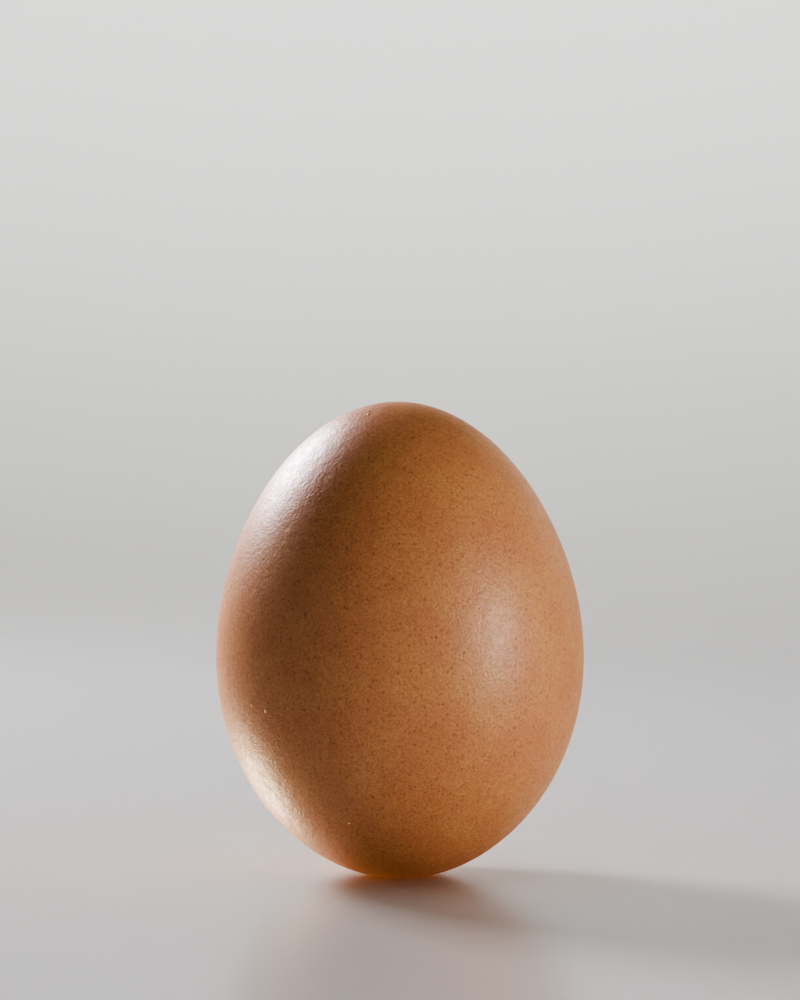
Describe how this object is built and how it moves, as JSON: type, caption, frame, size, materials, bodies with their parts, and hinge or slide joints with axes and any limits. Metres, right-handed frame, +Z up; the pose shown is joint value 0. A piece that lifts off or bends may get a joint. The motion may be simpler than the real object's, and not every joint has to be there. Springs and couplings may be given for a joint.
{
  "type": "chicken egg",
  "caption": "Brown hen's egg standing upright on its blunt end, on a small flat spot.",
  "frame": {"origin": "middle of the small flat spot under the blunt end", "axes": "+Z up towards the pointed end; +X to the right as seen from the front, which looks along +Y"},
  "size_m": [0.044, 0.044, 0.0567],
  "materials": {
    "shell": "satin"
  },
  "bodies": {
    "root": {"egg": "shell"}
  },
  "joints": []
}
